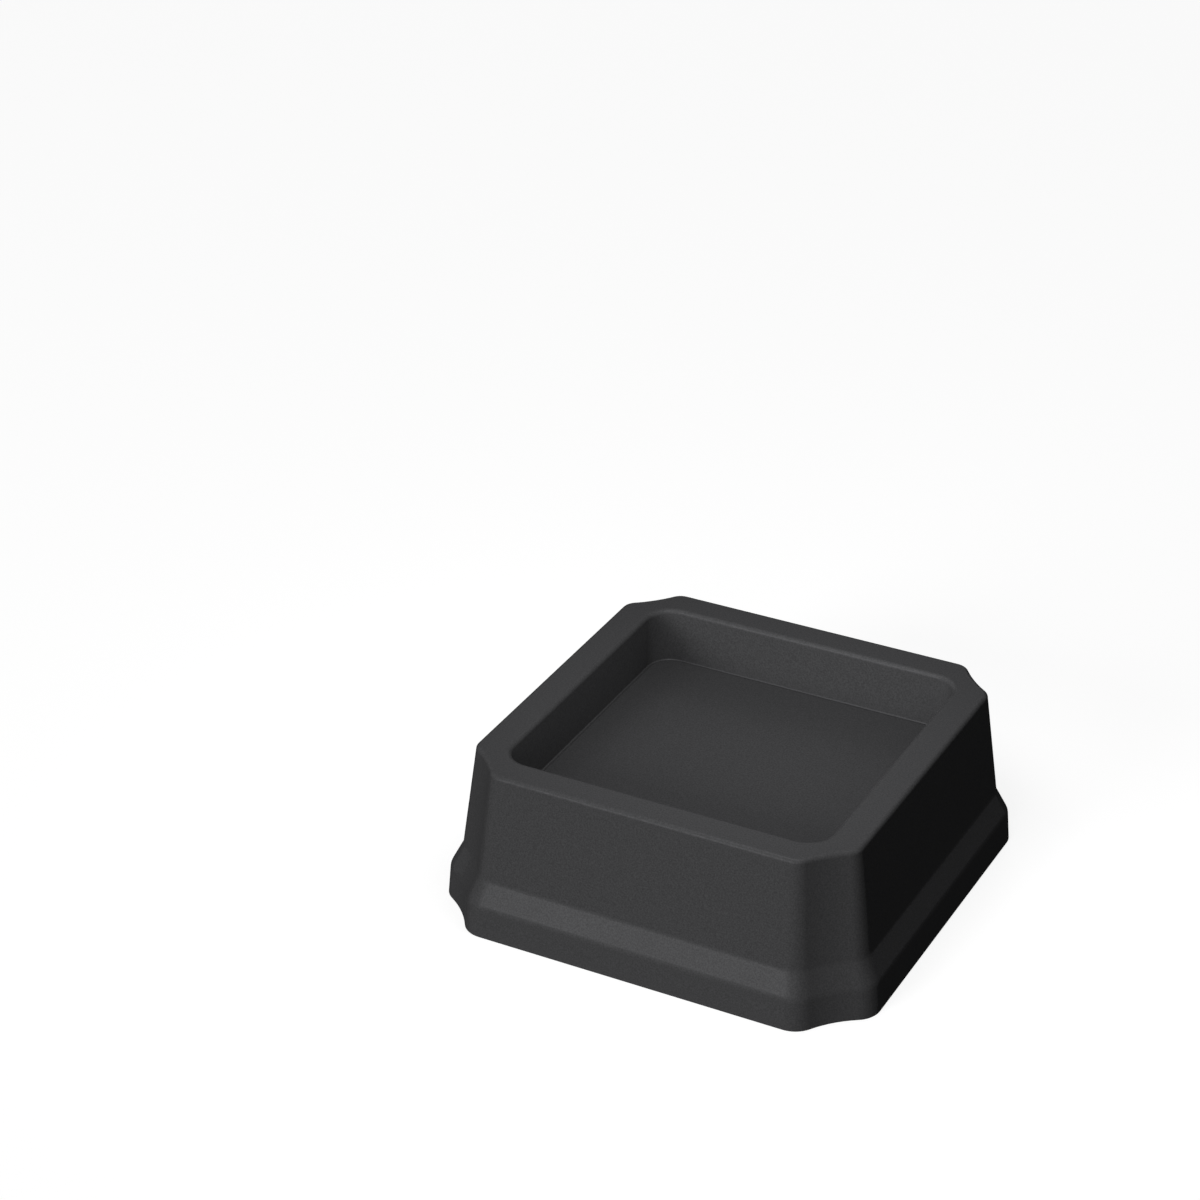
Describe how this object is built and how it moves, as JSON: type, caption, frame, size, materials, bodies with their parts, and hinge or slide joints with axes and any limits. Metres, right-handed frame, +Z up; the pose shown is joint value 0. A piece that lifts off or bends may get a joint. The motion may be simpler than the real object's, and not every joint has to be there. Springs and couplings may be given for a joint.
{
  "type": "bed riser",
  "caption": "Square black plastic bed riser with a stepped foot, hollowed corners and a shallow square pocket for the leg.",
  "frame": {"origin": "middle of the base, on the surface that the riser stands on", "axes": "+Z up, out of the pocket; +X and +Y across the flat sides"},
  "size_m": [0.139, 0.139, 0.0508],
  "materials": {
    "riser_body": "moulded black polypropylene, even fine grain, soft sheen"
  },
  "bodies": {
    "root": {"riser_body": "riser_body"}
  },
  "joints": []
}
